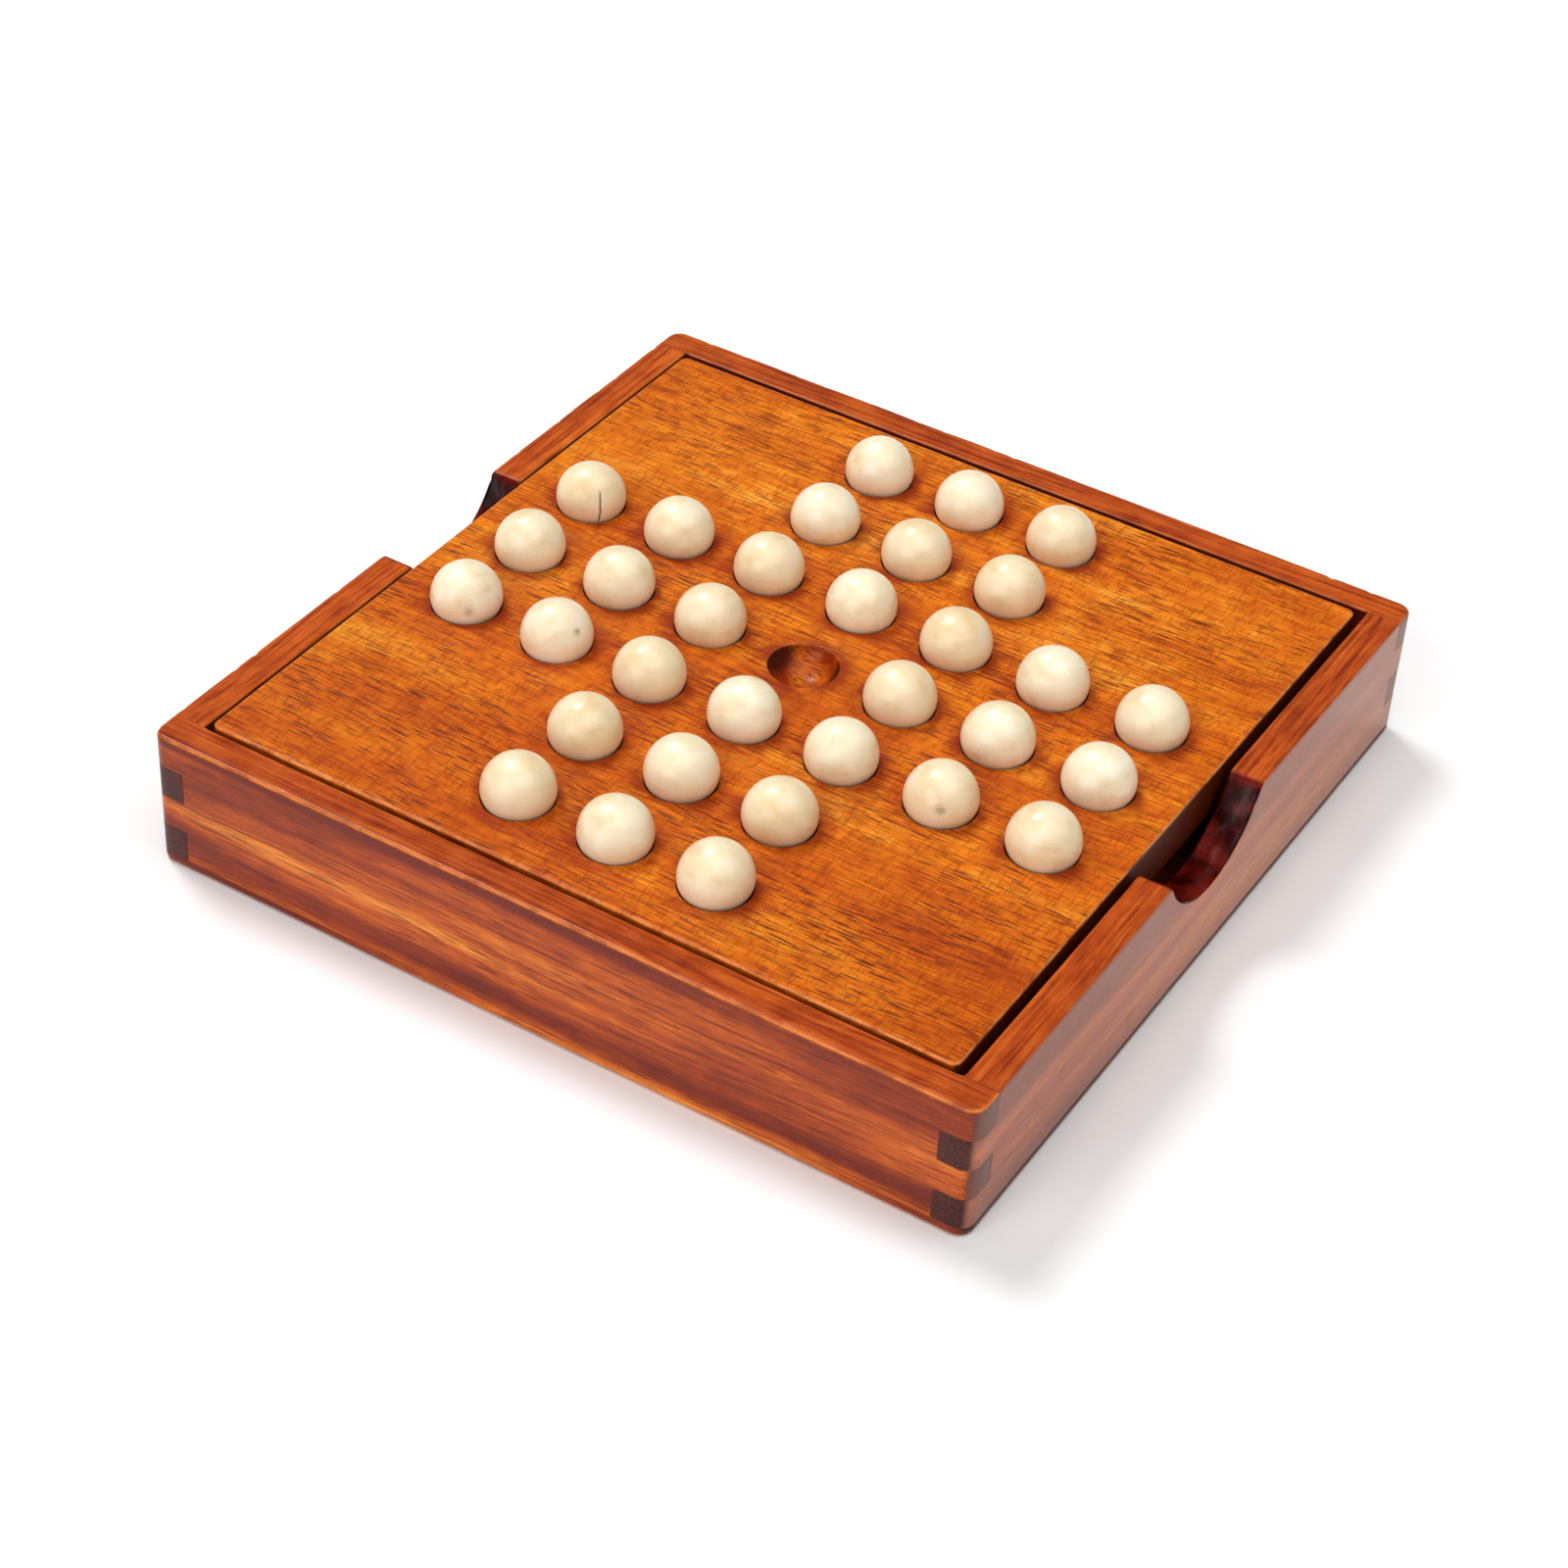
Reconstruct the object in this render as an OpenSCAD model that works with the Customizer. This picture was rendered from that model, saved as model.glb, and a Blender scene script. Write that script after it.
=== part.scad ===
// Marble solitaire board: a finger-jointed wooden box, a loose playing board that lies in its top
// on two ledges, and a marble in every pocket of the board but the middle one.
//
// X runs along the front of the box, Y from the front to the back, and Z is up.
// The origin is the middle of the underside. Sizes are in millimetres.

/* [Box] */
// Outside length and width of the square box
box_w = 200; // [190:1:240]
// Outside height of the box
box_h = 34; // [33:0.5:45]
// Thickness of the four walls
wall_t = 8; // [6:0.5:10]
// Thickness of the base panel, which lies flush under the walls
base_t = 2.5; // [2:0.5:4]
// Rounding of the four upright corners
corner_r = 3.5; // [1:0.5:5]
// Rounding of the upper outer edges
rim_r = 1.2; // [0.4:0.2:2]
// Rounding of the base panel's lower edges
foot_r = 1.4; // [0.4:0.2:1.8]
// Number of interlocking fingers in the height of a corner
fingers = 4; // [2:2:8]
// Width of the two ledges that carry the playing board
ledge_w = 7; // [5:0.5:12]

/* [Finger notches] */
// Radius of the round notch in the left and right walls
notch_r = 22.5; // [18:0.5:28]
// Depth of the notch below the top of its wall
notch_depth = 13.4; // [8:0.2:16]
// Rounding of the notch's two shoulders
shoulder_r = 2; // [0.5:0.5:4]
// Distance of the notch behind the middle of its wall
notch_shift = 1; // [-10:0.5:10]

/* [Playing board] */
// Gap all round the playing board when it lies in the middle
board_gap = 1.5; // [1.5:0.5:4]
// Thickness of the playing board
board_t = 12; // [9:0.5:13]
// How far the playing board's top stands above the walls
board_proud = 1; // [0:0.5:2]
// Rounding of the playing board's upright corners
board_corner_r = 2; // [0.5:0.5:4]
// Rounding of the playing board's upper and lower edges
board_edge_r = 0.8; // [0.2:0.2:2]
// Where the loose board lies along X, from the middle
board_shift_x = -0.2; // [-1.4:0.1:1.4]
// Where the loose board lies along Y, from the middle
board_shift_y = -1; // [-1.4:0.1:1.4]

/* [Pockets and marbles] */
// Distance between neighbouring pockets
pitch = 24.2; // [20:0.1:24.5]
// Diameter of a marble
marble_d = 15.8; // [14:0.2:16.4]
// Depth of a pocket
pocket_depth = 5.8; // [4:0.1:7]
// How much larger the pocket's radius is than the marble's
pocket_slack = 0.5; // [0.2:0.1:1]
// Clearance under a marble
marble_gap = 0.05; // [0.02:0.01:0.1]

/* [Hidden] */
wall_h = box_h - base_t;
inner_w = box_w - 2 * wall_t;
finger_h = wall_h / fingers;
board_w = inner_w - 2 * board_gap;
board_top = box_h + board_proud;
board_bottom = board_top - board_t;
marble_r = marble_d / 2;
pocket_r = marble_r + pocket_slack;
marble_z = board_top - pocket_depth + marble_gap + marble_r;
margin = 1;
edge_steps = 6;
notch_steps = 32;
$fn = 96;

// The board is an English cross: files a to g along X, ranks 1 to 7 along Y, both counted from -3
file_letters = "abcdefg";
reach = 3;
arm = 1;
pockets = [
    for (rank = [-reach:reach], file = [-reach:reach])
        if (abs(file) <= arm || abs(rank) <= arm) [file, rank]
];
filled_pockets = [for (cell = pockets) if (cell != [0, 0]) cell];

function marble_name(cell) = str("marble_", file_letters[cell[0] + reach], cell[1] + reach + 1);

// Points on an arc, from one angle to another
function arc(centre, radius, from, to, steps) = [
    for (step = [0:steps])
        let (angle = from + (to - from) * step / steps)
        centre + radius * [cos(angle), sin(angle)]
];

// A rectangle that stands on the X axis, with its two lower and its two upper corners rounded
module rounded_rectangle(width, height, low_r, high_r) {
    polygon(concat(
        arc([width / 2 - low_r, low_r], low_r, 270, 360, edge_steps),
        arc([width / 2 - high_r, height - high_r], high_r, 0, 90, edge_steps),
        arc([high_r - width / 2, height - high_r], high_r, 90, 180, edge_steps),
        arc([low_r - width / 2, low_r], low_r, 180, 270, edge_steps)
    ));
}

// A square block standing on Z = 0, with rounded corners, lower edges and upper edges
module rounded_block(width, height, upright_r, low_r, high_r) {
    intersection() {
        translate([0, -width / 2, 0])
            linear_extrude(height)
                rounded_rectangle(width, width, upright_r, upright_r);
        rotate([90, 0, 0])
            linear_extrude(width, center = true)
                rounded_rectangle(width, height, low_r, high_r);
        rotate([90, 0, 90])
            linear_extrude(width, center = true)
                rounded_rectangle(width, height, low_r, high_r);
    }
}

// The rounded outer form that every wall and the base are cut to
module outer_form() {
    rounded_block(box_w, box_h, corner_r, foot_r, rim_r);
}

// One end of a wall in its own plane: a stepped line up the fingers, from the base to the top.
// Levels count from the base, and a finger reaches the corner where its level is odd or even.
function finger_steps(parity) = [
    for (level = [0:fingers - 1], end = [0, 1])
        [
            box_w / 2 - (level % 2 == parity ? 0 : wall_t),
            base_t + (level + end) * finger_h
        ]
];

// The same line at the other end, running down
function mirrored(points) = [
    for (k = [len(points) - 1:-1:0])
        [-points[k][0], points[k][1]]
];

// A wall's outline in its own plane, with its fingers
module wall_outline(parity) {
    steps = finger_steps(parity);
    polygon(concat(steps, mirrored(steps)));
}

// The finger notch's outline: a round bottom, two round shoulders, open at the top
module notch_outline() {
    rise = notch_r - notch_depth;
    tilt = asin((rise + shoulder_r) / (notch_r + shoulder_r));
    shoulder_x = (notch_r + shoulder_r) * cos(tilt);
    shoulder_z = box_h - shoulder_r;
    polygon(concat(
        [[shoulder_x, box_h + margin]],
        arc([shoulder_x, shoulder_z], shoulder_r, 90, 180 - tilt, edge_steps),
        arc([0, box_h + rise], notch_r, 360 - tilt, 180 + tilt, notch_steps),
        arc([-shoulder_x, shoulder_z], shoulder_r, tilt, 90, edge_steps),
        [[-shoulder_x, box_h + margin]]
    ));
}

// A wall along X, with its outer face on the front of the box
module long_wall() {
    intersection() {
        translate([0, wall_t - box_w / 2, 0])
            rotate([90, 0, 0])
                linear_extrude(wall_t)
                    wall_outline(1);
        outer_form();
    }
}

// A wall along Y, with its outer face on the right of the box and a finger notch in its top
module notched_wall() {
    intersection() {
        translate([box_w / 2 - wall_t, 0, 0])
            rotate([90, 0, 90])
                linear_extrude(wall_t)
                    difference() {
                        wall_outline(0);
                        translate([notch_shift, 0])
                            notch_outline();
                    }
        outer_form();
    }
}

// A strip along the foot of the front wall, up to the underside of the playing board
module ledge() {
    translate([-inner_w / 2, -inner_w / 2, base_t])
        cube([inner_w, ledge_w, board_bottom - base_t]);
}

module front_wall() {
    color("sienna")
        long_wall();
}

module back_wall() {
    color("sienna")
        mirror([0, 1, 0])
            long_wall();
}

module right_wall() {
    color("saddlebrown")
        notched_wall();
}

module left_wall() {
    color("saddlebrown")
        mirror([1, 0, 0])
            notched_wall();
}

module base_panel() {
    color("burlywood")
        intersection() {
            translate([-box_w / 2, -box_w / 2, 0])
                cube([box_w, box_w, base_t]);
            outer_form();
        }
}

module front_ledge() {
    color("peru")
        ledge();
}

module back_ledge() {
    color("peru")
        mirror([0, 1, 0])
            ledge();
}

module playing_board() {
    color("darkorange")
        translate([board_shift_x, board_shift_y, 0])
            difference() {
                translate([0, 0, board_bottom])
                    rounded_block(board_w, board_t, board_corner_r, board_edge_r, board_edge_r);
                for (cell = pockets)
                    translate([cell[0] * pitch, cell[1] * pitch, board_top - pocket_depth + pocket_r])
                        sphere(pocket_r);
            }
}

module marble(cell) {
    color("ivory")
        translate([board_shift_x + cell[0] * pitch, board_shift_y + cell[1] * pitch, marble_z])
            sphere(marble_r);
}

front_wall();
back_wall();
left_wall();
right_wall();
base_panel();
front_ledge();
back_ledge();
playing_board();
for (cell = filled_pockets)
    marble(cell);
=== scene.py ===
"""The marble solitaire board's looks: meshes, materials, light and camera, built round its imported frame."""
import math
import random

import bmesh
import bpy
import numpy as np
from mathutils import Matrix, Vector, noise


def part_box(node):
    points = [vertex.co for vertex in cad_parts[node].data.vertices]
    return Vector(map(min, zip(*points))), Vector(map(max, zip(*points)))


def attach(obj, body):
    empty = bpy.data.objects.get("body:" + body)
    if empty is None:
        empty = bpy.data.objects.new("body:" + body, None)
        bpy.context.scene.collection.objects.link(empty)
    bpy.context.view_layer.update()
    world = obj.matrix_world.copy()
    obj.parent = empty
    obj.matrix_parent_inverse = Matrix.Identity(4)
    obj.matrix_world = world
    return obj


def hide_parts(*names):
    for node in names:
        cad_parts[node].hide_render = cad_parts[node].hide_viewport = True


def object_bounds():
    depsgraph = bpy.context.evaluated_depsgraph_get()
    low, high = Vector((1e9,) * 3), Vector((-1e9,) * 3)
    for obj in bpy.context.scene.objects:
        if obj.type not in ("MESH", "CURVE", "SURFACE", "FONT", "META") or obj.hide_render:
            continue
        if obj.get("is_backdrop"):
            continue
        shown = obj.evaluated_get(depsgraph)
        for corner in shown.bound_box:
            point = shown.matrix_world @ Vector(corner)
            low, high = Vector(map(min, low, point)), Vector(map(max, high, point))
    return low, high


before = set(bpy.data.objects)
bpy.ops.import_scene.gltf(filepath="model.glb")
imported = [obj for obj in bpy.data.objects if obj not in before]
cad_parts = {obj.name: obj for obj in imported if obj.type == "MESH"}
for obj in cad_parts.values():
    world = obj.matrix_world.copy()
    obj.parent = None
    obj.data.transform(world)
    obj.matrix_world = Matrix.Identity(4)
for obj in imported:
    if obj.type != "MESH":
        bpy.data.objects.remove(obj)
cad_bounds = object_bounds()

MM = 0.001

# ---------------------------------------------------------------- sizes taken from the frame

base_low, base_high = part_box("base_panel")
wall_low, wall_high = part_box("front_wall")
board_low, board_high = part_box("playing_board")
marble_low, marble_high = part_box("marble_c1")

BOX_HALF = base_high.x
BOX_TOP = wall_high.z
BASE_TOP = base_high.z
WALL_T = wall_high.y - wall_low.y
INNER_HALF = BOX_HALF - WALL_T

BOARD_CENTRE = (board_low + board_high) / 2
BOARD_HALF = (board_high.x - board_low.x) / 2
PITCH = (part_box("marble_e1")[0].x - marble_low.x) / 2
MARBLE_R = (marble_high.z - marble_low.z) / 2
MARBLE_Z = (marble_high.z + marble_low.z) / 2
FILES = "abcdefg"
REACH = 3

# ---------------------------------------------------------------- details that the frame's boxes don't give

FINGERS = 4
FINGER_H = (BOX_TOP - BASE_TOP) / FINGERS
CORNER_R = 3.5 * MM
FOOT_R = 1.4 * MM
RIM_R = 1.2 * MM
RIM_LEAST_R = 0.6 * MM
RIM_ZONE = 1.6 * MM
INNER_RIM_R = 0.6 * MM
CHIP_DEPTH = 1.6 * MM
SEAM_BEVEL = 0.16 * MM
LEDGE_BEVEL = 0.4 * MM
NOTCH_R = 22.5 * MM
NOTCH_DEPTH = 13.4 * MM
SHOULDER_R = 2 * MM
NOTCH_SHIFT = 1 * MM
BOARD_CORNER_R = 2 * MM
BOARD_EDGE_R = 0.8 * MM
POCKET_SLACK = 0.5 * MM
POCKET_GAP = 0.05 * MM
POCKET_RIM_R = 0.45 * MM
STAIN_AND_SHADE_REACH = 6.5 * MM
WAVE = 0.05 * MM
WAVE_SEED = 8
GRAIN_DRIFT = 7 * MM
WELD = 0.002 * MM

# How many quads the meshes have along each stretch
WALL_STEPS = 148
NOTCH_STEPS = 52
BESIDE_NOTCH_STEPS = 54
CORNER_STEPS = 6
BASE_STEPS = 96
LEDGE_STEPS = (120, 6, 14)
CELL_STEPS = 16
COLLAR_STEPS = 4
BALL_STEPS = 24
FLAWED_BALL_STEPS = 80


def steps(start, end, count):
    """Evenly spaced values from start up to, but not including, end."""
    return [start + (end - start) * k / count for k in range(count)]


def clamp(value, low=0.0, high=1.0):
    """The value, kept between low and high."""
    return min(max(value, low), high)


def smooth(value):
    """Eases from 0, at 0, to 1, at 1."""
    value = clamp(value)
    return value * value * (3 - 2 * value)


def direction(azimuth, elevation):
    """A unit vector: azimuth in degrees from +X towards +Y, elevation in degrees up."""
    a = math.radians(azimuth)
    e = math.radians(elevation)
    return Vector((math.cos(a) * math.cos(e), math.sin(a) * math.cos(e), math.sin(e)))


def whole(x, y, z):
    """Says of a lattice's every cell that it is solid."""
    return True


# ---------------------------------------------------------------- meshes


def lattice_surface(lines, solid, place, open_top=None):
    """Points, marks and quads of the surface round a lattice's solid cells.

    lines holds the lattice's x, y and z lines, solid(x, y, z) says which cells are filled, and
    place(x, y, z) gives a lattice point's final place and its mark. open_top(x, y) leaves out top quads.
    """
    middles = [[(a + b) / 2 for a, b in zip(axis, axis[1:])] for axis in lines]
    filled = np.zeros([len(axis) + 2 for axis in middles], bool)
    for i, x in enumerate(middles[0]):
        for j, y in enumerate(middles[1]):
            for k, z in enumerate(middles[2]):
                filled[i + 1, j + 1, k + 1] = solid(x, y, z)
    numbers = {}
    quads = []
    for axis in range(3):
        one = np.eye(3, dtype=int)[(axis + 1) % 3]
        other = np.eye(3, dtype=int)[(axis + 2) % 3]
        ahead = np.roll(filled, -1, axis)
        for outward, exposed in ((True, filled & ~ahead), (False, ~filled & ahead)):
            for cell in np.argwhere(exposed):
                if axis == 2 and outward and open_top:
                    if open_top(middles[0][cell[0] - 1], middles[1][cell[1] - 1]):
                        continue
                start = cell - 1
                start[axis] += 1
                ring = [start, start + one, start + one + other, start + other]
                if not outward:
                    ring.reverse()
                quads.append([numbers.setdefault(tuple(p), len(numbers)) for p in ring])
    placed = [place(lines[0][i], lines[1][j], lines[2][k]) for i, j, k in numbers]
    return [point for point, _ in placed], [mark for _, mark in placed], quads


def new_piece(name, points, faces, values=None):
    """A mesh object with welded points, smooth shading and the given point attributes."""
    mesh = bpy.data.meshes.new(name)
    mesh.from_pydata([tuple(p) for p in points], [], faces)
    for key, numbers in (values or {}).items():
        layer = mesh.attributes.new(key, "FLOAT", "POINT")
        layer.data.foreach_set("value", numbers)
    work = bmesh.new()
    work.from_mesh(mesh)
    bmesh.ops.remove_doubles(work, verts=work.verts, dist=WELD)
    bmesh.ops.recalc_face_normals(work, faces=work.faces)
    for face in work.faces:
        face.smooth = True
    work.to_mesh(mesh)
    work.free()
    piece = bpy.data.objects.new(name, mesh)
    bpy.context.scene.collection.objects.link(piece)
    return piece


def crisp_edges(piece, width, segments=2):
    """Small rounded edges, with the flat faces kept flat in the shading."""
    bevel = piece.modifiers.new("edges", "BEVEL")
    bevel.width = width
    bevel.segments = segments
    bevel.limit_method = "ANGLE"
    bevel.angle_limit = math.radians(50)
    bevel.use_clamp_overlap = True
    weighted = piece.modifiers.new("flat_faces", "WEIGHTED_NORMAL")
    weighted.weight = 80


def soften(across, down, radius):
    """Moves a point near a square edge onto a round one, and says how much the rounding wears it.

    The point is given, and returned, as its depths behind the edge's two faces.
    """
    if across >= radius or down >= radius:
        return across, down, 0.0
    u = radius - across
    v = radius - down
    pull = max(u, v) / math.hypot(u, v)
    moved = math.hypot(u, v) * (1 - pull)
    return radius - u * pull, radius - v * pull, clamp(moved / (0.4 * radius))


def round_block(x, y, z, half, low, high, corner_r, low_r, high_r):
    """Rounds a square block's upright corners and two rims: a point's new place, and its wear.

    The block is centred on Z, half its width is half, and it runs from low up to high.
    """
    core = half - corner_r
    beyond_x = max(abs(x) - core, 0)
    beyond_y = max(abs(y) - core, 0)
    beyond = max(beyond_x, beyond_y)
    if beyond <= 0:
        return x, y, z, 0.0
    inward, down, top_wear = soften(corner_r - beyond, high - z, high_r)
    z = high - down
    inward, up, low_wear = soften(inward, z - low, low_r)
    z = low + up
    scale = (corner_r - inward) / math.hypot(beyond_x, beyond_y)
    x = math.copysign(min(abs(x), core) + beyond_x * scale, x)
    y = math.copysign(min(abs(y), core) + beyond_y * scale, y)
    return x, y, z, max(top_wear, low_wear)


# Blender seeds noise_vector from the clock, so it's seeded here to give the same waves each run
noise.seed_set(WAVE_SEED)


def wavy(point, seed=0.0):
    """Moves a point by a few hundredths of a millimetre, as a hand-sanded surface is never quite flat."""
    broad = noise.noise_vector(point * 28 + Vector((seed, 0, 0)))
    fine = noise.noise_vector(point * 130 + Vector((0, seed, 5)))
    return point + broad * WAVE + fine * WAVE * 0.35


# The four walls. Each is built as a front wall, its outer face towards -Y, and turned into place.

WALLS = {
    # name: (quarter turns, parity of its corner fingers, notch's shift along the wall or None)
    "front_wall": (0, 1, None),
    "right_wall": (1, 0, NOTCH_SHIFT),
    "back_wall": (2, 1, None),
    "left_wall": (3, 0, -NOTCH_SHIFT),
}
SAPWOOD = {
    # name: (place along the wall, height) of the middle of its palest streak
    "front_wall": (-40 * MM, 15 * MM),
    "right_wall": (25 * MM, 9 * MM),
    "back_wall": (30 * MM, 14 * MM),
    "left_wall": (-20 * MM, 21 * MM),
}
SAPWOOD_LENGTH = 80 * MM
SAPWOOD_HEIGHT = 9 * MM
# How strongly each wall's faces turned towards +X are painted pale, a painted reflection of the bright floor,
# and how much its edges are rubbed pale
FLOOR_SHEEN = {"front_wall": 0.35, "right_wall": 0.6, "back_wall": 0.35, "left_wall": 0.0}
RUBBING = {"front_wall": 0.9, "right_wall": 0.15, "back_wall": 0.5, "left_wall": 0.5}
NOTCH_RISE = NOTCH_R - NOTCH_DEPTH
NOTCH_TILT = math.asin((NOTCH_RISE + SHOULDER_R) / (NOTCH_R + SHOULDER_R))
NOTCH_HALF = (NOTCH_R + SHOULDER_R) * math.cos(NOTCH_TILT)


def notch_edge(share):
    """A point on the notch's outline, share of the way along it, and the direction into the wood."""
    shoulder = SHOULDER_R * (math.pi / 2 - NOTCH_TILT)
    bottom = NOTCH_R * (math.pi - 2 * NOTCH_TILT)
    way = (share - 0.5) * (2 * shoulder + bottom)
    if abs(way) <= bottom / 2:
        angle = way / NOTCH_R
        out = Vector((math.sin(angle), -math.cos(angle)))
        return Vector((0, BOX_TOP + NOTCH_RISE)) + out * NOTCH_R, out
    angle = (abs(way) - bottom / 2) / SHOULDER_R
    side = math.copysign(1, way)
    turn = NOTCH_TILT + angle
    out = Vector((-side * math.cos(turn), math.sin(turn)))
    return Vector((side * NOTCH_HALF, BOX_TOP - SHOULDER_R)) + out * SHOULDER_R, -out


def hang_from_notch(x, z, shift):
    """Moves a wall point near the notch down with the notch's outline, square to it at first."""
    along = x - shift
    if abs(along) >= NOTCH_HALF:
        return x, z
    edge, into_wood = notch_edge((along / NOTCH_HALF + 1) / 2)
    depth = BOX_TOP - z
    near = edge + into_wood * min(depth, RIM_ZONE)
    foot = Vector((along, BASE_TOP))
    share = clamp((depth - RIM_ZONE) / (BOX_TOP - BASE_TOP - RIM_ZONE))
    point = near.lerp(foot, share)
    return point.x + shift, point.y


def rim_radius(x, seed):
    """The rim's rounding at x: it varies along a wall, with small chips where it has been knocked."""
    slow = noise.noise(Vector((x * 60, seed, 0)))
    chip = noise.noise(Vector((x * 420, seed, 9)))
    radius = RIM_R * (0.85 + 0.25 * slow) + max(chip - 0.25, 0) * CHIP_DEPTH
    return clamp(radius, RIM_LEAST_R, RIM_ZONE)


def wall(name, turns, parity, shift):
    """One wall, with its fingers, its rounded rims and, where shift is a number, its notch."""
    turn = Matrix.Rotation(turns * math.pi / 2, 3, "Z")

    def solid(x, y, z):
        level = int((z - BASE_TOP) / FINGER_H)
        return abs(x) < INNER_HALF or level % 2 == parity

    def place(x, y, z):
        rim_r = rim_radius(x, turns * 7.0)
        px, py, pz, wear = round_block(x, y, z, BOX_HALF, 0, BOX_TOP, CORNER_R, FOOT_R, rim_r)
        if abs(x) < INNER_HALF:
            behind, down, inner_wear = soften(-INNER_HALF - py, BOX_TOP - pz, INNER_RIM_R)
            py = -INNER_HALF - behind
            pz = BOX_TOP - down
            wear = max(wear, inner_wear)
        cut = 0.0
        if shift is not None:
            cut = float(z > BOX_TOP - RIM_ZONE / 8 and abs(px - shift) < NOTCH_HALF)
            px, pz = hang_from_notch(px, pz, shift)
        return wavy(turn @ Vector((px, py, pz))), (wear, cut)

    corner = steps(BOX_HALF - CORNER_R, BOX_HALF, CORNER_STEPS) + [BOX_HALF]
    finger = steps(INNER_HALF, BOX_HALF - CORNER_R, 3)
    ends = finger + corner
    if shift is None:
        middle = steps(-INNER_HALF, INNER_HALF, WALL_STEPS)[1:]
    else:
        left = steps(-INNER_HALF, shift - NOTCH_HALF, BESIDE_NOTCH_STEPS)[1:]
        notch = steps(shift - NOTCH_HALF, shift + NOTCH_HALF, NOTCH_STEPS)
        middle = left + notch + steps(shift + NOTCH_HALF, INNER_HALF, BESIDE_NOTCH_STEPS)
    xs = [-x for x in reversed(ends)] + middle + ends
    rim = steps(0, RIM_ZONE, 5)
    inner_rim = steps(WALL_T - INNER_RIM_R, WALL_T, 3) + [WALL_T]
    ys = [depth - BOX_HALF for depth in rim + steps(RIM_ZONE, WALL_T - INNER_RIM_R, 4) + inner_rim]
    zs = steps(BASE_TOP, BOX_TOP - FINGER_H, 4 * (FINGERS - 1))
    zs += steps(BOX_TOP - FINGER_H, BOX_TOP - RIM_ZONE, 4)
    zs += [BOX_TOP - depth for depth in reversed(rim + [RIM_ZONE])]
    points, marks, quads = lattice_surface((xs, ys, zs), solid, place)
    wear, cut = zip(*marks)
    piece = new_piece(name, points, quads, {"wear": wear, "cut": cut})
    crisp_edges(piece, SEAM_BEVEL)
    return piece


def base():
    """The base panel under the walls."""
    def place(x, y, z):
        px, py, pz, wear = round_block(x, y, z, BOX_HALF, 0, BOX_TOP, CORNER_R, FOOT_R, RIM_R)
        return wavy(Vector((px, py, pz))), wear

    core = BOX_HALF - CORNER_R
    corner = steps(core, BOX_HALF, CORNER_STEPS) + [BOX_HALF]
    across = [-x for x in reversed(corner)] + steps(-core, core, BASE_STEPS)[1:] + corner
    zs = steps(0, FOOT_R, 4) + steps(FOOT_R, BASE_TOP, 2) + [BASE_TOP]
    points, wear, quads = lattice_surface((across, across, zs), whole, place)
    piece = new_piece("base", points, quads, {"wear": wear})
    crisp_edges(piece, SEAM_BEVEL)
    return piece


def ledge(node):
    """One of the two strips that carry the playing board."""
    low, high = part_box(node)

    def place(x, y, z):
        return wavy(Vector((x, y, z)), seed=3.0), 0.0

    lines = [steps(low[k], high[k], count) + [high[k]] for k, count in enumerate(LEDGE_STEPS)]
    points, wear, quads = lattice_surface(lines, whole, place)
    piece = new_piece(node + "_strip", points, quads, {"wear": wear})
    crisp_edges(piece, LEDGE_BEVEL, 3)
    return piece


# The playing board: a lattice block whose top is left open at the pockets, with a dish in each opening.

ARM = 1
POCKET_R = MARBLE_R + POCKET_SLACK
POCKET_FLOOR = marble_low.z - POCKET_GAP
POCKET_TOP = board_high.z
POCKET_MIDDLE = POCKET_FLOOR + POCKET_R


def is_pocket(file, rank):
    """True in the cross of pockets. The file and the rank are counted from the board's middle."""
    return max(abs(file), abs(rank)) <= REACH and min(abs(file), abs(rank)) <= ARM


def pocket_profile():
    """Radius and height of each ring of a pocket, from the rim's outer edge to just off the middle."""
    lift = POCKET_MIDDLE - POCKET_TOP
    rim_x = math.sqrt((POCKET_R + POCKET_RIM_R) ** 2 - (lift + POCKET_RIM_R) ** 2)
    slope = math.atan2(lift + POCKET_RIM_R, rim_x)
    rim = [
        (rim_x + POCKET_RIM_R * math.cos(a), POCKET_TOP - POCKET_RIM_R + POCKET_RIM_R * math.sin(a))
        for a in steps(math.pi / 2, math.pi - slope, 5)
    ]
    dish = [
        (POCKET_R * math.cos(a), POCKET_MIDDLE - POCKET_R * math.sin(a))
        for a in steps(slope, math.pi / 2, 14)
    ]
    return rim + dish


def square_ring():
    """Points round a unit square's edge, CELL_STEPS to a side, from its lower right corner up."""
    sides = [((1, -1), (0, 1)), ((1, 1), (-1, 0)), ((-1, 1), (0, -1)), ((-1, -1), (1, 0))]
    return [
        Vector(corner) + Vector(way) * 2 * k / CELL_STEPS
        for corner, way in sides
        for k in range(CELL_STEPS)
    ]


def board_stain_and_shade(x, y):
    """Darker round the pockets, part real staining and part painted shade from the marbles and the hollows: 1
    inside one, fading out over a few millimetres.
    """
    file = round((x - BOARD_CENTRE.x) / PITCH)
    rank = round((y - BOARD_CENTRE.y) / PITCH)
    if not is_pocket(file, rank):
        return 0.0
    gap = math.hypot(x - BOARD_CENTRE.x - file * PITCH, y - BOARD_CENTRE.y - rank * PITCH) - POCKET_R
    return (1 - clamp(gap / STAIN_AND_SHADE_REACH)) ** 1.5


def pocket_rows(ring, profile):
    """Rings of points round Z, from the square edge of a pocket's cell to the dish's floor."""
    rows = []
    for step in range(COLLAR_STEPS):
        share = smooth(step / COLLAR_STEPS) * 0.35 + 0.65 * step / COLLAR_STEPS
        rows.append([
            (p * PITCH / 2).lerp(p.normalized() * profile[0][0], share).to_3d()
            + Vector((0, 0, POCKET_TOP))
            for p in ring
        ])
    for radius, height in profile:
        rows.append([(p.normalized() * radius).to_3d() + Vector((0, 0, height)) for p in ring])
    return rows


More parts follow.
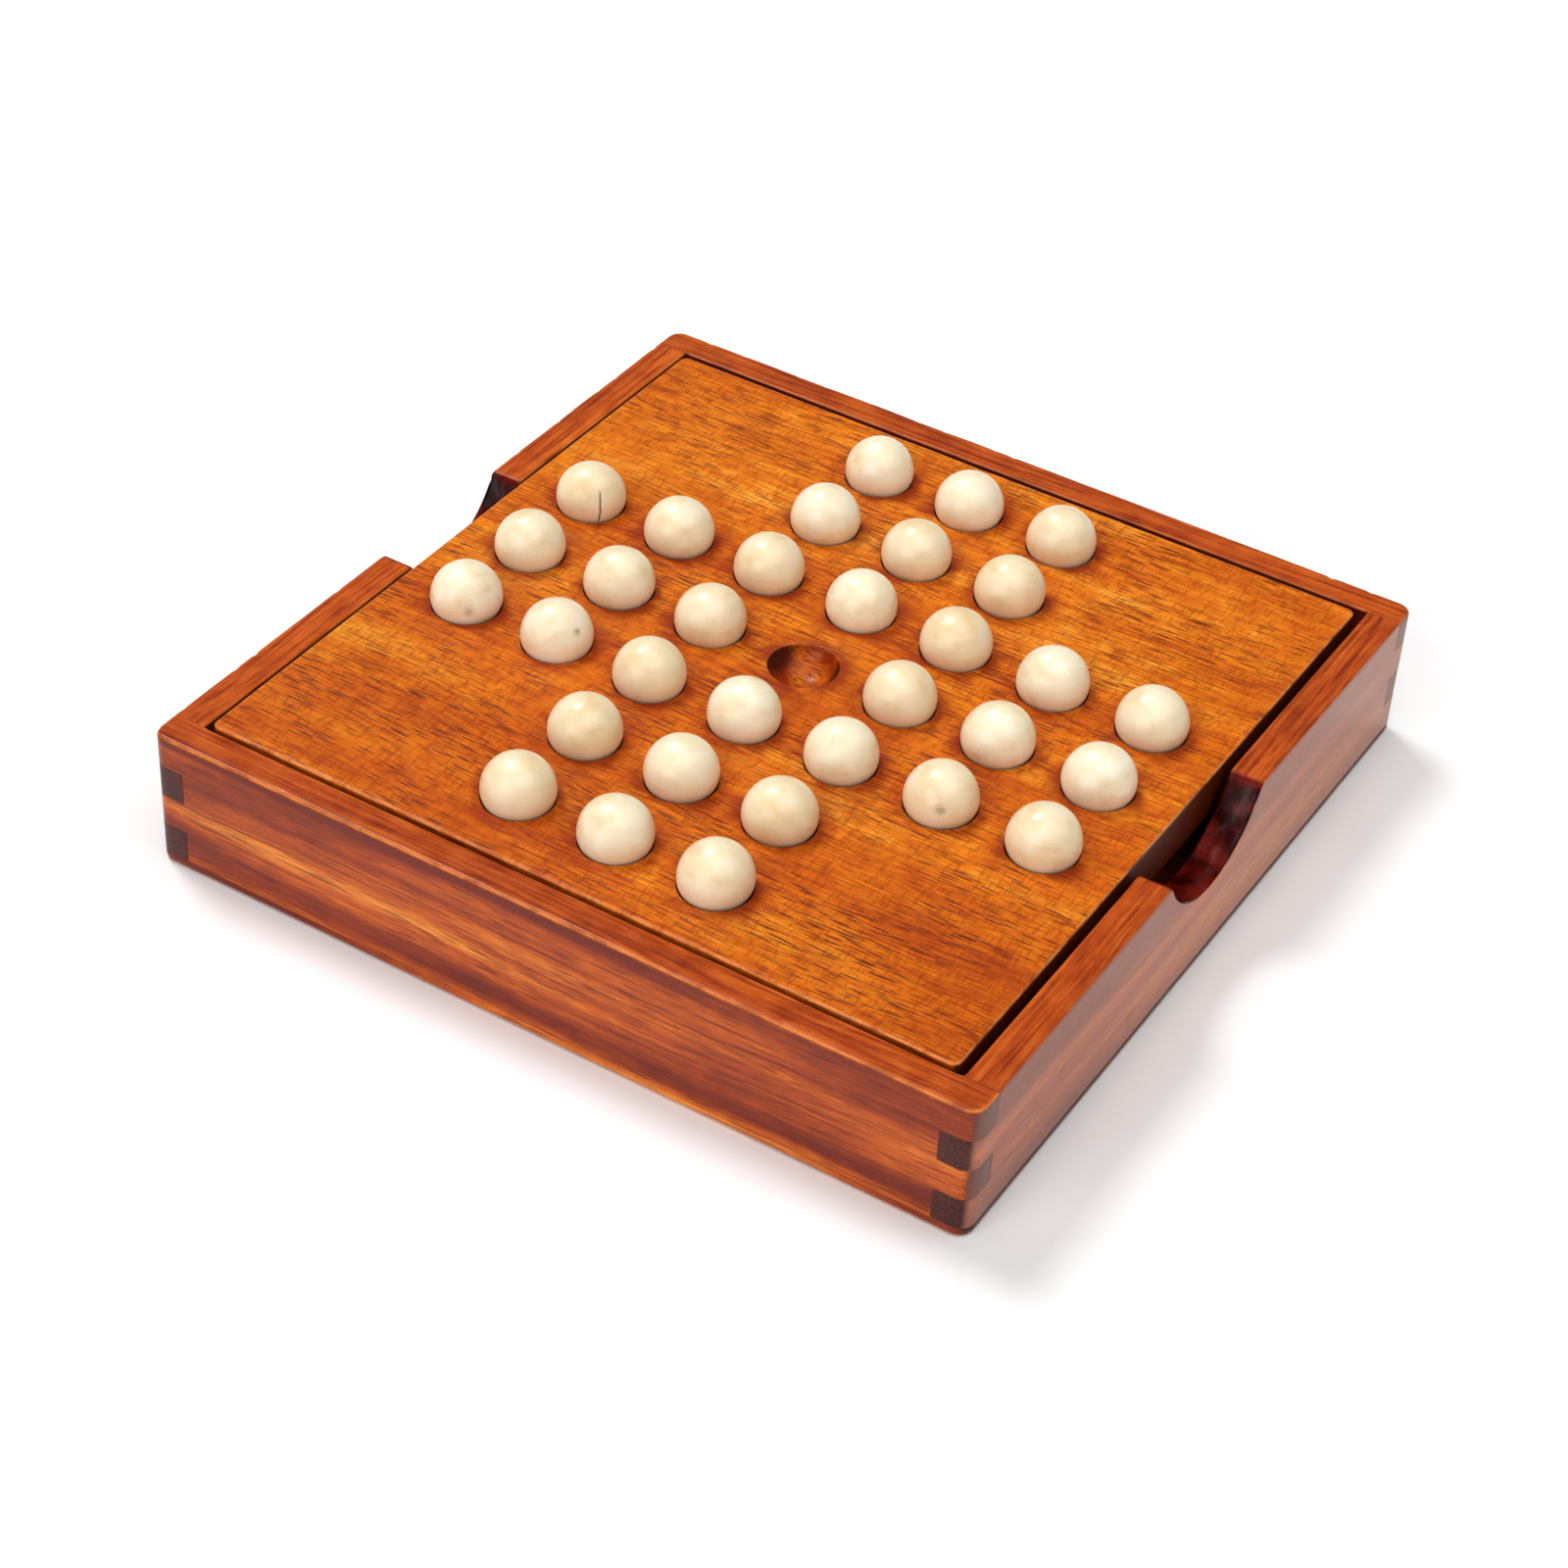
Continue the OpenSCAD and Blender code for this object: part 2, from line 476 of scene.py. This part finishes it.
def add_pocket(points, wear, faces, rows, middle):
    """Adds one pocket's points, wear and faces to the board's."""
    first = len(points)
    around = len(rows[0])
    for number, row in enumerate(rows):
        rim_share = 1 - abs(number - COLLAR_STEPS - 2) / 3
        for p in row:
            points.append(wavy(p + middle, seed=11.0))
            wear.append(clamp(rim_share) * 0.15)
    points.append(wavy(Vector((middle.x, middle.y, POCKET_FLOOR)), seed=11.0))
    wear.append(0.0)
    for row in range(len(rows) - 1):
        for k in range(around):
            a = first + row * around + k
            b = first + row * around + (k + 1) % around
            faces.append([a, b, b + around, a + around])
    last = first + (len(rows) - 1) * around
    for k in range(around):
        faces.append([last + k, last + (k + 1) % around, last + around])


def playing_board():
    """The board: a rounded block with 33 stained pockets."""
    def place(x, y, z):
        px, py, pz, wear = round_block(
            x, y, z, BOARD_HALF, board_low.z, board_high.z, BOARD_CORNER_R, BOARD_EDGE_R, BOARD_EDGE_R
        )
        return wavy(Vector((px + BOARD_CENTRE.x, py + BOARD_CENTRE.y, pz)), seed=11.0), wear

    def in_pocket_cell(x, y):
        return is_pocket(round(x / PITCH), round(y / PITCH))

    cells_half = PITCH * (REACH + 0.5)
    edge = steps(cells_half, BOARD_HALF - BOARD_CORNER_R, 3)
    edge += steps(BOARD_HALF - BOARD_CORNER_R, BOARD_HALF - BOARD_EDGE_R, 3)
    edge += steps(BOARD_HALF - BOARD_EDGE_R, BOARD_HALF, 4) + [BOARD_HALF]
    cells = steps(-cells_half, cells_half, CELL_STEPS * (2 * REACH + 1))
    across = [-x for x in reversed(edge)] + cells[1:] + edge
    zs = steps(board_low.z, board_low.z + BOARD_EDGE_R, 4)
    zs += steps(board_low.z + BOARD_EDGE_R, board_high.z - BOARD_EDGE_R, 6)
    zs += steps(board_high.z - BOARD_EDGE_R, board_high.z, 4) + [board_high.z]
    points, wear, faces = lattice_surface((across, across, zs), whole, place, in_pocket_cell)
    rows = pocket_rows(square_ring(), pocket_profile())
    for file in range(-REACH, REACH + 1):
        for rank in range(-REACH, REACH + 1):
            if is_pocket(file, rank):
                middle = Vector((BOARD_CENTRE.x + file * PITCH, BOARD_CENTRE.y + rank * PITCH, 0))
                add_pocket(points, wear, faces, rows, middle)
    # Real staining plus painted shade: 1 inside a pocket, fading out round it
    stain_and_shade = [board_stain_and_shade(p.x, p.y) if p.z > board_low.z + BOARD_EDGE_R else 0.0 for p in points]
    return new_piece("board", points, faces, {"wear": wear, "stain_and_shade": stain_and_shade})


# The marbles: turned balls that are a little out of round, some with a flaw.

BALL_SWELL = 0.25 * MM
BALL_LUMPS = 0.22 * MM
BALL_RIPPLE = 0.03 * MM
PITS = {
    # name: (azimuth, elevation, radius, depth, how dark) of a small flaw, its angles in degrees
    "marble_b3": (-14, 32, 1.3 * MM, 0.22 * MM, 0.55),
    "marble_f3": (-62, 16, 1.8 * MM, 0.25 * MM, 0.50),
    "marble_a3": (-50, 8, 2.0 * MM, 0.12 * MM, 0.40),
}
CRACKED = "marble_a5"
CRACK_AZIMUTH = -41
CRACK_TOP = 44
CRACK_FOOT = -24
CRACK_TAPER = 14
CRACK_HALF_W = 0.40 * MM
CRACK_DEPTH = 0.45 * MM
CRACK_DARKNESS = 0.85


def cube_sphere(count):
    """Unit directions and quads of a sphere made from a cube, each face count quads wide."""
    tangents = [math.tan(math.pi / 4 * (2 * k / count - 1)) for k in range(count + 1)]
    points, faces = [], []
    for axis in range(3):
        for side in (1, -1):
            first = len(points)
            for u in tangents:
                for v in tangents:
                    p = [0, 0, 0]
                    p[axis] = side
                    p[(axis + 1) % 3] = u * side
                    p[(axis + 2) % 3] = v
                    points.append(Vector(p).normalized())
            for i in range(count):
                for j in range(count):
                    a = first + i * (count + 1) + j
                    faces.append([a, a + count + 1, a + count + 2, a + 1])
    return points, faces


def flaw(name, way):
    """A marble's flaw in a direction: how deep it is there, in metres, and how dark."""
    if name in PITS:
        azimuth, elevation, radius, depth, darkness = PITS[name]
        gap = (way - direction(azimuth, elevation)).length * MARBLE_R
        gap *= 1 + 0.4 * noise.noise(way * 14)
        share = 1 - smooth(gap / radius)
        return depth * share, darkness * share
    if name == CRACKED:
        elevation = math.degrees(math.asin(clamp(way.z, -1, 1)))
        bend = 0.08 * elevation + 2 * noise.noise(Vector((elevation * 0.1, 0, 3)))
        azimuth = math.degrees(math.atan2(way.y, way.x))
        gap = abs(azimuth - CRACK_AZIMUTH - bend)
        gap = math.radians(gap) * math.cos(math.radians(elevation)) * MARBLE_R
        ends = min(CRACK_TOP - elevation, elevation - CRACK_FOOT) / CRACK_TAPER
        share = (1 - smooth(gap / CRACK_HALF_W)) * smooth(ends)
        return CRACK_DEPTH * share, CRACK_DARKNESS * share
    return 0.0, 0.0


def marble(name, sphere):
    """One marble, on the centre its file and rank give."""
    file = FILES.index(name[-2]) - REACH
    rank = int(name[-1]) - 1 - REACH
    centre = Vector((BOARD_CENTRE.x + file * PITCH, BOARD_CENTRE.y + rank * PITCH, MARBLE_Z))
    rolls = random.Random(name)
    offset = Vector([rolls.uniform(0, 50) for _ in range(3)])
    ways, faces = sphere
    points, flaws = [], []
    for way in ways:
        lumps = 0.5 + 0.5 * noise.noise(way * 0.9 + offset)
        ripple = 0.5 + 0.5 * noise.noise(way * 3.1 + offset)
        depth, darkness = flaw(name, way)
        swell = BALL_SWELL * smooth((way.z + 0.6) / 0.5)
        radius = MARBLE_R + swell - BALL_LUMPS * lumps - BALL_RIPPLE * ripple - depth
        points.append(centre + way * radius)
        flaws.append(darkness)
    age = [rolls.random()] * len(points)
    return new_piece(name + "_ball", points, faces, {"flaw": flaws, "age": age})


# ---------------------------------------------------------------- materials


def rgb(red, green, blue):
    """A colour from screen values of 0 to 255."""
    def linear(value):
        value /= 255
        return value / 12.92 if value <= 0.04045 else ((value + 0.055) / 1.055) ** 2.4

    return linear(red), linear(green), linear(blue), 1.0


class Shader:
    """Builds one node material, a step at a time. Each step returns the socket that holds its result.

    Values of 0 to 1 say how much of something there is. Scales are in cycles per metre.
    """

    def __init__(self, name):
        self.material = bpy.data.materials.new(name)
        self.material.use_nodes = True
        self.nodes = self.material.node_tree.nodes
        self.links = self.material.node_tree.links
        self.surface = self.nodes["Principled BSDF"]

    def feed(self, socket, value):
        """Links an input to another step's result, or sets it to a plain value."""
        if isinstance(value, bpy.types.NodeSocket):
            self.links.new(value, socket)
        else:
            socket.default_value = value

    def step(self, kind, output, inputs, **settings):
        """Adds a node and returns the output named."""
        node = self.nodes.new("ShaderNode" + kind)
        for key, value in settings.items():
            setattr(node, key, value)
        for key, value in inputs.items():
            self.feed(node.inputs[key], value)
        return node.outputs[output]

    def place(self):
        return self.step("TexCoord", "Object", {})

    def normal(self):
        return self.step("NewGeometry", "Normal", {})

    def attribute(self, name):
        return self.step("Attribute", "Fac", {}, attribute_name=name)

    def split(self, vector):
        """A vector's outputs, by the names X, Y and Z."""
        node = self.nodes.new("ShaderNodeSeparateXYZ")
        self.feed(node.inputs[0], vector)
        return node.outputs

    def dot(self, a, b):
        return self.step("VectorMath", "Value", {0: a, 1: b}, operation="DOT_PRODUCT")

    def stretch(self, vector, scale, shift=(0, 0, 0)):
        return self.step("VectorMath", 0, {0: vector, 1: scale, 2: shift}, operation="MULTIPLY_ADD")

    def noise(self, vector, detail=3.0, roughness=0.5, distortion=0.0):
        inputs = {
            "Vector": vector, "Scale": 1.0, "Detail": detail,
            "Roughness": roughness, "Distortion": distortion,
        }
        return self.step("TexNoise", "Fac", inputs)

    def cells(self, vector):
        return self.step("TexVoronoi", "Distance", {"Vector": vector, "Scale": 1.0})

    def span(self, value, low, high, to_low=0.0, to_high=1.0):
        """Eases a value from to_low, at low, to to_high, at high."""
        inputs = {0: value, 1: low, 2: high, 3: to_low, 4: to_high}
        return self.step("MapRange", 0, inputs, interpolation_type="SMOOTHSTEP")

    def math(self, operation, a, b=0.0):
        return self.step("Math", 0, {0: a, 1: b}, operation=operation)

    def blend(self, share, a, b, kind="MIX"):
        """Colour a where share is 0, and colour b where it is 1."""
        inputs = {0: share, 6: a, 7: b}
        return self.step("Mix", 2, inputs, data_type="RGBA", blend_type=kind)

    def ramp(self, value, stops):
        """A colour from a list of stops, each a value and its colour."""
        node = self.nodes.new("ShaderNodeValToRGB")
        self.feed(node.inputs[0], value)
        elements = node.color_ramp.elements
        while len(elements) < len(stops):
            elements.new(0.5)
        for element, (position, colour) in zip(elements, stops):
            element.position = position
            element.color = colour
        return node.outputs[0]

    def bump(self, height, distance, strength=1.0):
        inputs = {"Height": height, "Distance": distance, "Strength": strength}
        return self.step("Bump", "Normal", inputs)

    def finish(self, inputs):
        for name, value in inputs.items():
            self.feed(self.surface.inputs[name], value)
        return self.material


def grain_place(shader, along, seed):
    """Object coordinates with the grain's direction first, wandering a little, so that grain lines bend."""
    parts = shader.split(shader.place())
    order = "XYZ" if along == "X" else "YXZ"
    turned = shader.step("CombineXYZ", 0, {k: parts[letter] for k, letter in enumerate(order)})
    drift = shader.noise(shader.stretch(turned, (9, 22, 22), (seed, seed, 0)), 2.0)
    drift = shader.math("MULTIPLY", shader.math("SUBTRACT", drift, 0.5), GRAIN_DRIFT)
    bend = shader.step("CombineXYZ", 0, {1: drift, 2: drift})
    return shader.step("VectorMath", 0, {0: turned, 1: bend}, operation="ADD")


def end_grain_share(shader, along):
    """1 where the surface faces along the grain, so that it shows end grain."""
    facing = shader.math("ABSOLUTE", shader.split(shader.normal())[along])
    return shader.span(facing, 0.45, 0.8)


def board_wood():
    """Amber stained hardwood under varnish: golden, with dark streaks and short pores along X."""
    s = Shader("board_wood")
    facing = s.split(s.normal())
    stain_and_shade = s.attribute("stain_and_shade")
    grain = grain_place(s, "X", 2.0)

    # Broad changes of tone
    figure = s.noise(s.stretch(grain, (13, 34, 34)), 3.0, 0.55)
    bands = s.noise(s.stretch(grain, (11, 210, 210), (4, 0, 0)), 3.0, 0.6)
    mottle = s.noise(s.stretch(grain, (190, 120, 120), (0, 7, 0)), 3.0, 0.6)
    tone = s.math("ADD", s.math("MULTIPLY", figure, 0.45), s.math("MULTIPLY", bands, 0.35))
    tone = s.math("ADD", tone, s.math("MULTIPLY", mottle, 0.20))
    colour = s.ramp(tone, [
        (0.36, rgb(190, 80, 0)),
        (0.46, rgb(220, 109, 8)),
        (0.54, rgb(238, 132, 20)),
        (0.64, rgb(253, 170, 54)),
    ])

    # Fine streaks, fibres and pores along the grain, and rays across it
    streaks = s.noise(s.stretch(grain, (110, 1700, 1700), (0, 0, 6)), 3.0, 0.6)
    fibres = s.noise(s.stretch(grain, (190, 2800, 2800)), 2.0)
    rays = s.noise(s.stretch(grain, (1400, 330, 330), (2, 0, 0)), 2.0)
    calm = s.span(s.noise(s.stretch(grain, (14, 30, 30), (0, 5, 0)), 2.0), 0.38, 0.60, 1.0, 0.35)
    streaked = s.math("MULTIPLY", s.span(streaks, 0.54, 0.34, 0.0, 0.78), calm)
    colour = s.blend(streaked, colour, rgb(124, 40, 0))
    colour = s.blend(s.span(fibres, 0.56, 0.36, 0.0, 0.45), colour, rgb(148, 56, 0))
    colour = s.blend(s.span(rays, 0.50, 0.34, 0.0, 0.4), colour, rgb(138, 46, 0))
    patches = s.span(s.noise(s.stretch(grain, (45, 95, 95), (0, 0, 3)), 2.0), 0.40, 0.60)
    pores = s.span(s.cells(s.stretch(grain, (130, 1500, 1500))), 0.46, 0.18)
    pores = s.math("MULTIPLY", pores, s.math("ADD", s.math("MULTIPLY", patches, 0.8), 0.2))
    colour = s.blend(s.math("MULTIPLY", pores, 0.85), colour, rgb(84, 22, 0))

    # Darker, redder front (painted: stands in for the sheen at the back), staining and painted shade round
    # the pockets, painted shade on the sides, and edges rubbed pale
    # Painted light: towards the front the colour is multiplied darker and redder, in place of the varnish
    # sheen that pales the back
    near = s.span(s.split(s.place())["Y"], 0.02, -0.08)
    colour = s.blend(near, colour, rgb(238, 222, 180), "MULTIPLY")
    blotch = s.noise(s.stretch(grain, (110, 160, 160), (9, 0, 0)), 2.0)
    # Real staining and painted shade: the pockets' hollows and the board round the marbles are painted darker
    # red
    dirt_and_shade = s.math("MULTIPLY", stain_and_shade, s.span(blotch, 0.36, 0.62, 0.15, 0.95))
    colour = s.blend(dirt_and_shade, colour, rgb(134, 32, 0))
    colour = s.blend(s.math("MULTIPLY", end_grain_share(s, "X"), 0.85), colour, rgb(44, 8, 2))
    # Painted shade: the board's sides, down in the dark gap by the walls, are painted dark
    side = s.math("MULTIPLY", s.span(facing["Z"], 0.35, 0.1, 0.0, 0.6), s.math("SUBTRACT", 1.0, stain_and_shade))
    colour = s.blend(side, colour, rgb(72, 18, 3))
    rubbed = s.math("MULTIPLY", s.attribute("wear"), s.span(mottle, 0.40, 0.56, 0.2, 0.7))
    colour = s.blend(rubbed, colour, rgb(246, 160, 92))
    height = s.math("SUBTRACT", s.math("MULTIPLY", streaks, 0.5), pores)
    return s.finish({
        "Base Color": colour,
        "Roughness": s.span(bands, 0.3, 0.7, 0.44, 0.36),
        "Specular IOR Level": 0.14,
        "Coat Weight": 0.08,
        "Coat Roughness": 0.15,
        "Normal": s.bump(height, 0.05 * MM, 0.7),
    })


def box_wood(name, along, seed, sapwood=(0, 0), floor_sheen=0.0, rubbing=0.5):
    """Red-brown stained wood with long wandering streaks of orange and purple-brown, dark at its end grain.

    sapwood is where along the grain, and how high, its palest streak lies. The next argument is how strongly
    the faces turned towards +X are painted pale: a painted reflection of the bright floor. rubbing is how
    much the edges are rubbed pale.
    """
    s = Shader(name)
    place = s.place()
    normal = s.normal()
    facing = s.split(normal)
    grain = grain_place(s, along, seed)

    # Broad changes of tone, palest along the sapwood streak
    bands = s.noise(s.stretch(grain, (3, 105, 105), (seed, 0, 0)), 2.0, 0.5, 0.3)
    figure = s.noise(s.stretch(grain, (9, 36, 36), (0, seed, 0)), 2.0)
    mottle = s.noise(s.stretch(grain, (150, 210, 210), (0, 0, seed)), 3.0, 0.6)
    middle, height = sapwood
    streak_scale = (1 / SAPWOOD_LENGTH, 0, 1 / SAPWOOD_HEIGHT)
    streak_shift = (-middle / SAPWOOD_LENGTH, 0, -height / SAPWOOD_HEIGHT)
    away = s.step(
        "VectorMath", "Value", {0: s.stretch(grain, streak_scale, streak_shift)}, operation="LENGTH"
    )
    pale = s.span(away, 1.2, 0.2, -0.045, 0.085)
    tone = s.math("ADD", s.math("MULTIPLY", bands, 0.6), s.math("MULTIPLY", figure, 0.3))
    tone = s.math("ADD", tone, s.math("MULTIPLY", mottle, 0.1))
    tone = s.math("ADD", tone, pale)
    colour = s.ramp(tone, [
        (0.38, rgb(116, 36, 18)),
        (0.45, rgb(166, 64, 16)),
        (0.52, rgb(208, 96, 22)),
        (0.60, rgb(242, 142, 52)),
    ])

    # Fine streaks, fibres and pores along the grain
    streaks = s.noise(s.stretch(grain, (40, 1000, 1000), (0, 3, seed)), 3.0, 0.6)
    fibres = s.noise(s.stretch(grain, (140, 2600, 2600)), 2.0)
    colour = s.blend(s.span(streaks, 0.52, 0.32, 0.0, 0.7), colour, rgb(108, 32, 8))
    colour = s.blend(s.span(fibres, 0.56, 0.36, 0.0, 0.4), colour, rgb(116, 38, 8))
    pores = s.span(s.cells(s.stretch(grain, (90, 1500, 1500))), 0.34, 0.14)
    colour = s.blend(s.math("MULTIPLY", pores, 0.5), colour, rgb(72, 20, 6))

    # The tops are worn to a plainer red-brown, and the faces inside the box are painted dark: painted shade,
    # as they sit in shadow under the board
    worn = s.math("ADD", s.math("MULTIPLY", streaks, 0.7), s.math("MULTIPLY", mottle, 0.3))
    top_colour = s.ramp(worn, [
        (0.35, rgb(122, 36, 0)),
        (0.50, rgb(180, 72, 6)),
        (0.65, rgb(214, 104, 26)),
    ])
    colour = s.blend(s.span(facing["Z"], 0.5, 0.95, 0.0, 0.7), colour, top_colour)
    # Painted shade: faces turned into the box are painted dark
    inward = s.span(s.dot(normal, place), -0.01, -0.06)
    inner_shade = s.math("MULTIPLY", inward, s.span(facing["Z"], 0.6, 0.2, 0.0, 0.7))
    colour = s.blend(inner_shade, colour, rgb(70, 14, 4))

    # Dark end grain, edges rubbed pale, and a painted reflection of the floor on the faces turned towards +X,
    # stronger towards the back
    speckle = s.noise(s.stretch(grain, (400, 1500, 1500)), 2.0)
    end_colour = s.ramp(speckle, [(0.35, rgb(34, 10, 12)), (0.65, rgb(78, 32, 30))])
    colour = s.blend(s.math("MULTIPLY", end_grain_share(s, along), 0.92), colour, end_colour)
    rubbed = s.math("MULTIPLY", s.attribute("wear"), s.span(mottle, 0.36, 0.60, 0.35 * rubbing, rubbing))
    colour = s.blend(rubbed, colour, rgb(242, 140, 62))
    # Painted reflection: faces turned towards +X are painted pale, more so towards the back
    far = s.span(s.split(place)["Y"], -0.1, 0.1, 0.7, 1.25)
    painted_sheen = s.math("MULTIPLY", s.span(facing["X"], 0.5, 0.9, 0.0, floor_sheen), far)
    colour = s.blend(painted_sheen, colour, rgb(196, 142, 122))

    # A notch is brushed with dark varnish that has run, deepened with painted shade: blackest on its steep
    # ends, and painted redder where it faces up to the light
    cut = s.attribute("cut")
    runs = s.noise(s.stretch(place, (120, 110, 110), (0, 0, seed)), 3.0, 0.5)
    # Painted light and shade: faces turned up are painted redder, steep ones blacker
    redness_and_shade = s.math("ADD", runs, s.span(facing["Z"], 0.4, 1.0, -0.08, 0.06))
    cut_colour_and_shade = s.ramp(redness_and_shade, [
        (0.38, rgb(26, 0, 0)),
        (0.50, rgb(48, 2, 1)),
        (0.66, rgb(106, 18, 8)),
    ])
    colour = s.blend(cut, colour, cut_colour_and_shade)
    glossy = s.noise(s.stretch(place, (260, 150, 150), (seed, 0, 0)), 4.0, 0.6)
    sheen = s.span(glossy, 0.44, 0.72, -0.12, 0.16)
    relief = s.math("SUBTRACT", s.math("MULTIPLY", streaks, 0.5), pores)
    relief = s.math("ADD", relief, s.math("MULTIPLY", cut, s.math("MULTIPLY", glossy, 4.0)))
    return s.finish({
        "Base Color": colour,
        "Roughness": s.span(mottle, 0.3, 0.7, 0.34, 0.44),
        "Specular IOR Level": s.math("ADD", 0.14, s.math("MULTIPLY", cut, sheen)),
        "Coat Weight": s.span(cut, 0.0, 1.0, 0.15, 0.08),
        "Coat Roughness": s.span(bands, 0.3, 0.7, 0.08, 0.2),
        "Normal": s.bump(relief, 0.04 * MM, 0.7),
    })


def ball_lacquer():
    """Ivory lacquer over a wooden ball, faintly mottled, with brown in its flaws."""
    s = Shader("ball_lacquer")
    place = s.place()
    clouds = s.noise(s.stretch(place, (150, 150, 150)), 3.0, 0.6)
    rings = s.noise(s.stretch(place, (90, 90, 260)), 2.0, 0.5, 0.6)
    specks = s.noise(s.stretch(place, (1500, 1500, 1500)), 2.0)
    tone = s.math("ADD", s.math("MULTIPLY", clouds, 0.65), s.math("MULTIPLY", rings, 0.35))
    colour = s.ramp(tone, [
        (0.34, rgb(233, 207, 162)),
        (0.46, rgb(245, 228, 192)),
        (0.60, rgb(252, 240, 214)),
    ])
    colour = s.blend(s.span(specks, 0.62, 0.78, 0.0, 0.25), colour, rgb(190, 150, 98))
    colour = s.blend(s.span(s.attribute("age"), 0.0, 1.0, 0.0, 0.4), colour, rgb(232, 200, 146))
    colour = s.blend(s.attribute("flaw"), colour, rgb(96, 62, 34))
    return s.finish({
        "Base Color": colour,
        "Roughness": s.span(clouds, 0.3, 0.7, 0.30, 0.40),
        "Subsurface Weight": 0.12,
        "Subsurface Scale": 1.5 * MM,
        "Coat Weight": 0.3,
        "Coat Roughness": 0.18,
        "Normal": s.bump(specks, 0.02 * MM, 0.5),
    })


def floor_paper():
    """A pale, slightly uneven sheet."""
    s = Shader("floor_paper")
    tooth = s.noise(s.stretch(s.place(), (40, 40, 40)), 2.0)
    colour = s.ramp(tooth, [(0.3, rgb(244, 244, 244)), (0.7, rgb(247, 247, 247))])
    return s.finish({"Base Color": colour, "Roughness": 0.6})


# ---------------------------------------------------------------- the object


def dress(piece, body, node, material):
    """Gives a piece its material, and has it stand for a CAD node and ride with its body."""
    piece.data.materials.append(material)
    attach(piece, body)
    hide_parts(node)


for seed, (node, (turns, parity, shift)) in enumerate(WALLS.items()):
    along = "Y" if turns % 2 else "X"
    wood = box_wood(node + "_wood", along, 3.0 + 4.0 * seed, SAPWOOD[node], FLOOR_SHEEN[node], RUBBING[node])
    dress(wall(node + "_plank", turns, parity, shift), "box", node, wood)
dress(base(), "box", "base_panel", box_wood("base_wood", "X", 21.0))
for node in ("front_ledge", "back_ledge"):
    dress(ledge(node), "box", node, box_wood(node + "_wood", "X", 27.0))
dress(playing_board(), "board", "playing_board", board_wood())
lacquer = ball_lacquer()
plain_sphere = cube_sphere(BALL_STEPS)
fine_sphere = cube_sphere(FLAWED_BALL_STEPS)
for node in sorted(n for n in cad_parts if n.startswith("marble_")):
    sphere = fine_sphere if node in PITS or node == CRACKED else plain_sphere
    dress(marble(node, sphere), node, node, lacquer)

# ---------------------------------------------------------------- floor, light and camera


FLOOR_HALF = 30.0


def floor():
    """A floor so wide that its edge is never seen."""
    mesh = bpy.data.meshes.new("floor")
    half = FLOOR_HALF
    corners = [(-half, -half, 0), (half, -half, 0), (half, half, 0), (-half, half, 0)]
    mesh.from_pydata(corners, [], [(0, 1, 2, 3)])
    piece = bpy.data.objects.new("floor", mesh)
    piece.data.materials.append(floor_paper())
    bpy.context.scene.collection.objects.link(piece)
    piece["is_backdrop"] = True


def soft_light(name, toward, spread, strength):
    """Parallel light from the direction given, as soft as a source that many degrees wide."""
    data = bpy.data.lights.new(name, "SUN")
    data.angle = math.radians(spread)
    data.energy = strength
    light = bpy.data.objects.new(name, data)
    light.rotation_euler = toward.to_track_quat("Z", "Y").to_euler()
    bpy.context.scene.collection.objects.link(light)


CAMERA_AZIMUTH = -60.23
CAMERA_ELEVATION = 38.79
CAMERA_ROLL = 3.62
CAMERA_DISTANCE = 0.7457
CAMERA_TARGET = Vector((7.3 * MM, -19.4 * MM, 17.5 * MM))
CAMERA_LENS = 79.24


def camera():
    """The view from the front right, a little rolled, as a hand-held picture is."""
    away = direction(CAMERA_AZIMUTH, CAMERA_ELEVATION)
    data = bpy.data.cameras.new("camera")
    data.lens = CAMERA_LENS
    data.sensor_width = 36
    data.clip_start = 0.01
    eye = bpy.data.objects.new("camera", data)
    eye.location = CAMERA_TARGET + away * CAMERA_DISTANCE
    level = away.to_track_quat("Z", "Y").to_matrix()
    rolled = level @ Matrix.Rotation(math.radians(CAMERA_ROLL), 3, "Z")
    eye.rotation_euler = rolled.to_euler()
    bpy.context.scene.collection.objects.link(eye)
    bpy.context.scene.camera = eye


def studio():
    """Three soft lights in a dim room, with a backdrop as pale as the floor."""
    world = bpy.data.worlds.new("studio")
    world.use_nodes = True
    nodes = world.node_tree.nodes
    room = nodes["Background"]
    room.inputs["Strength"].default_value = 0.22
    backdrop = nodes.new("ShaderNodeBackground")
    backdrop.inputs["Strength"].default_value = 1.0
    for background in (room, backdrop):
        background.inputs["Color"].default_value = (1, 1, 1, 1)
    path = nodes.new("ShaderNodeLightPath")
    mix = nodes.new("ShaderNodeMixShader")
    links = world.node_tree.links
    links.new(path.outputs["Is Camera Ray"], mix.inputs[0])
    links.new(room.outputs[0], mix.inputs[1])
    links.new(backdrop.outputs[0], mix.inputs[2])
    links.new(mix.outputs[0], nodes["World Output"].inputs["Surface"])
    bpy.context.scene.world = world
    bpy.context.scene.view_settings.view_transform = "Standard"
    soft_light("key", direction(160, 58), 18, 1.42)
    soft_light("top", direction(-25, 72), 60, 1.5)
    soft_light("front", direction(-100, 26), 45, 1.1)


floor()
studio()
camera()

sizes = {"cad": cad_bounds, "visual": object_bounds()}
{key: [list(corner) for corner in box] for key, box in sizes.items()}
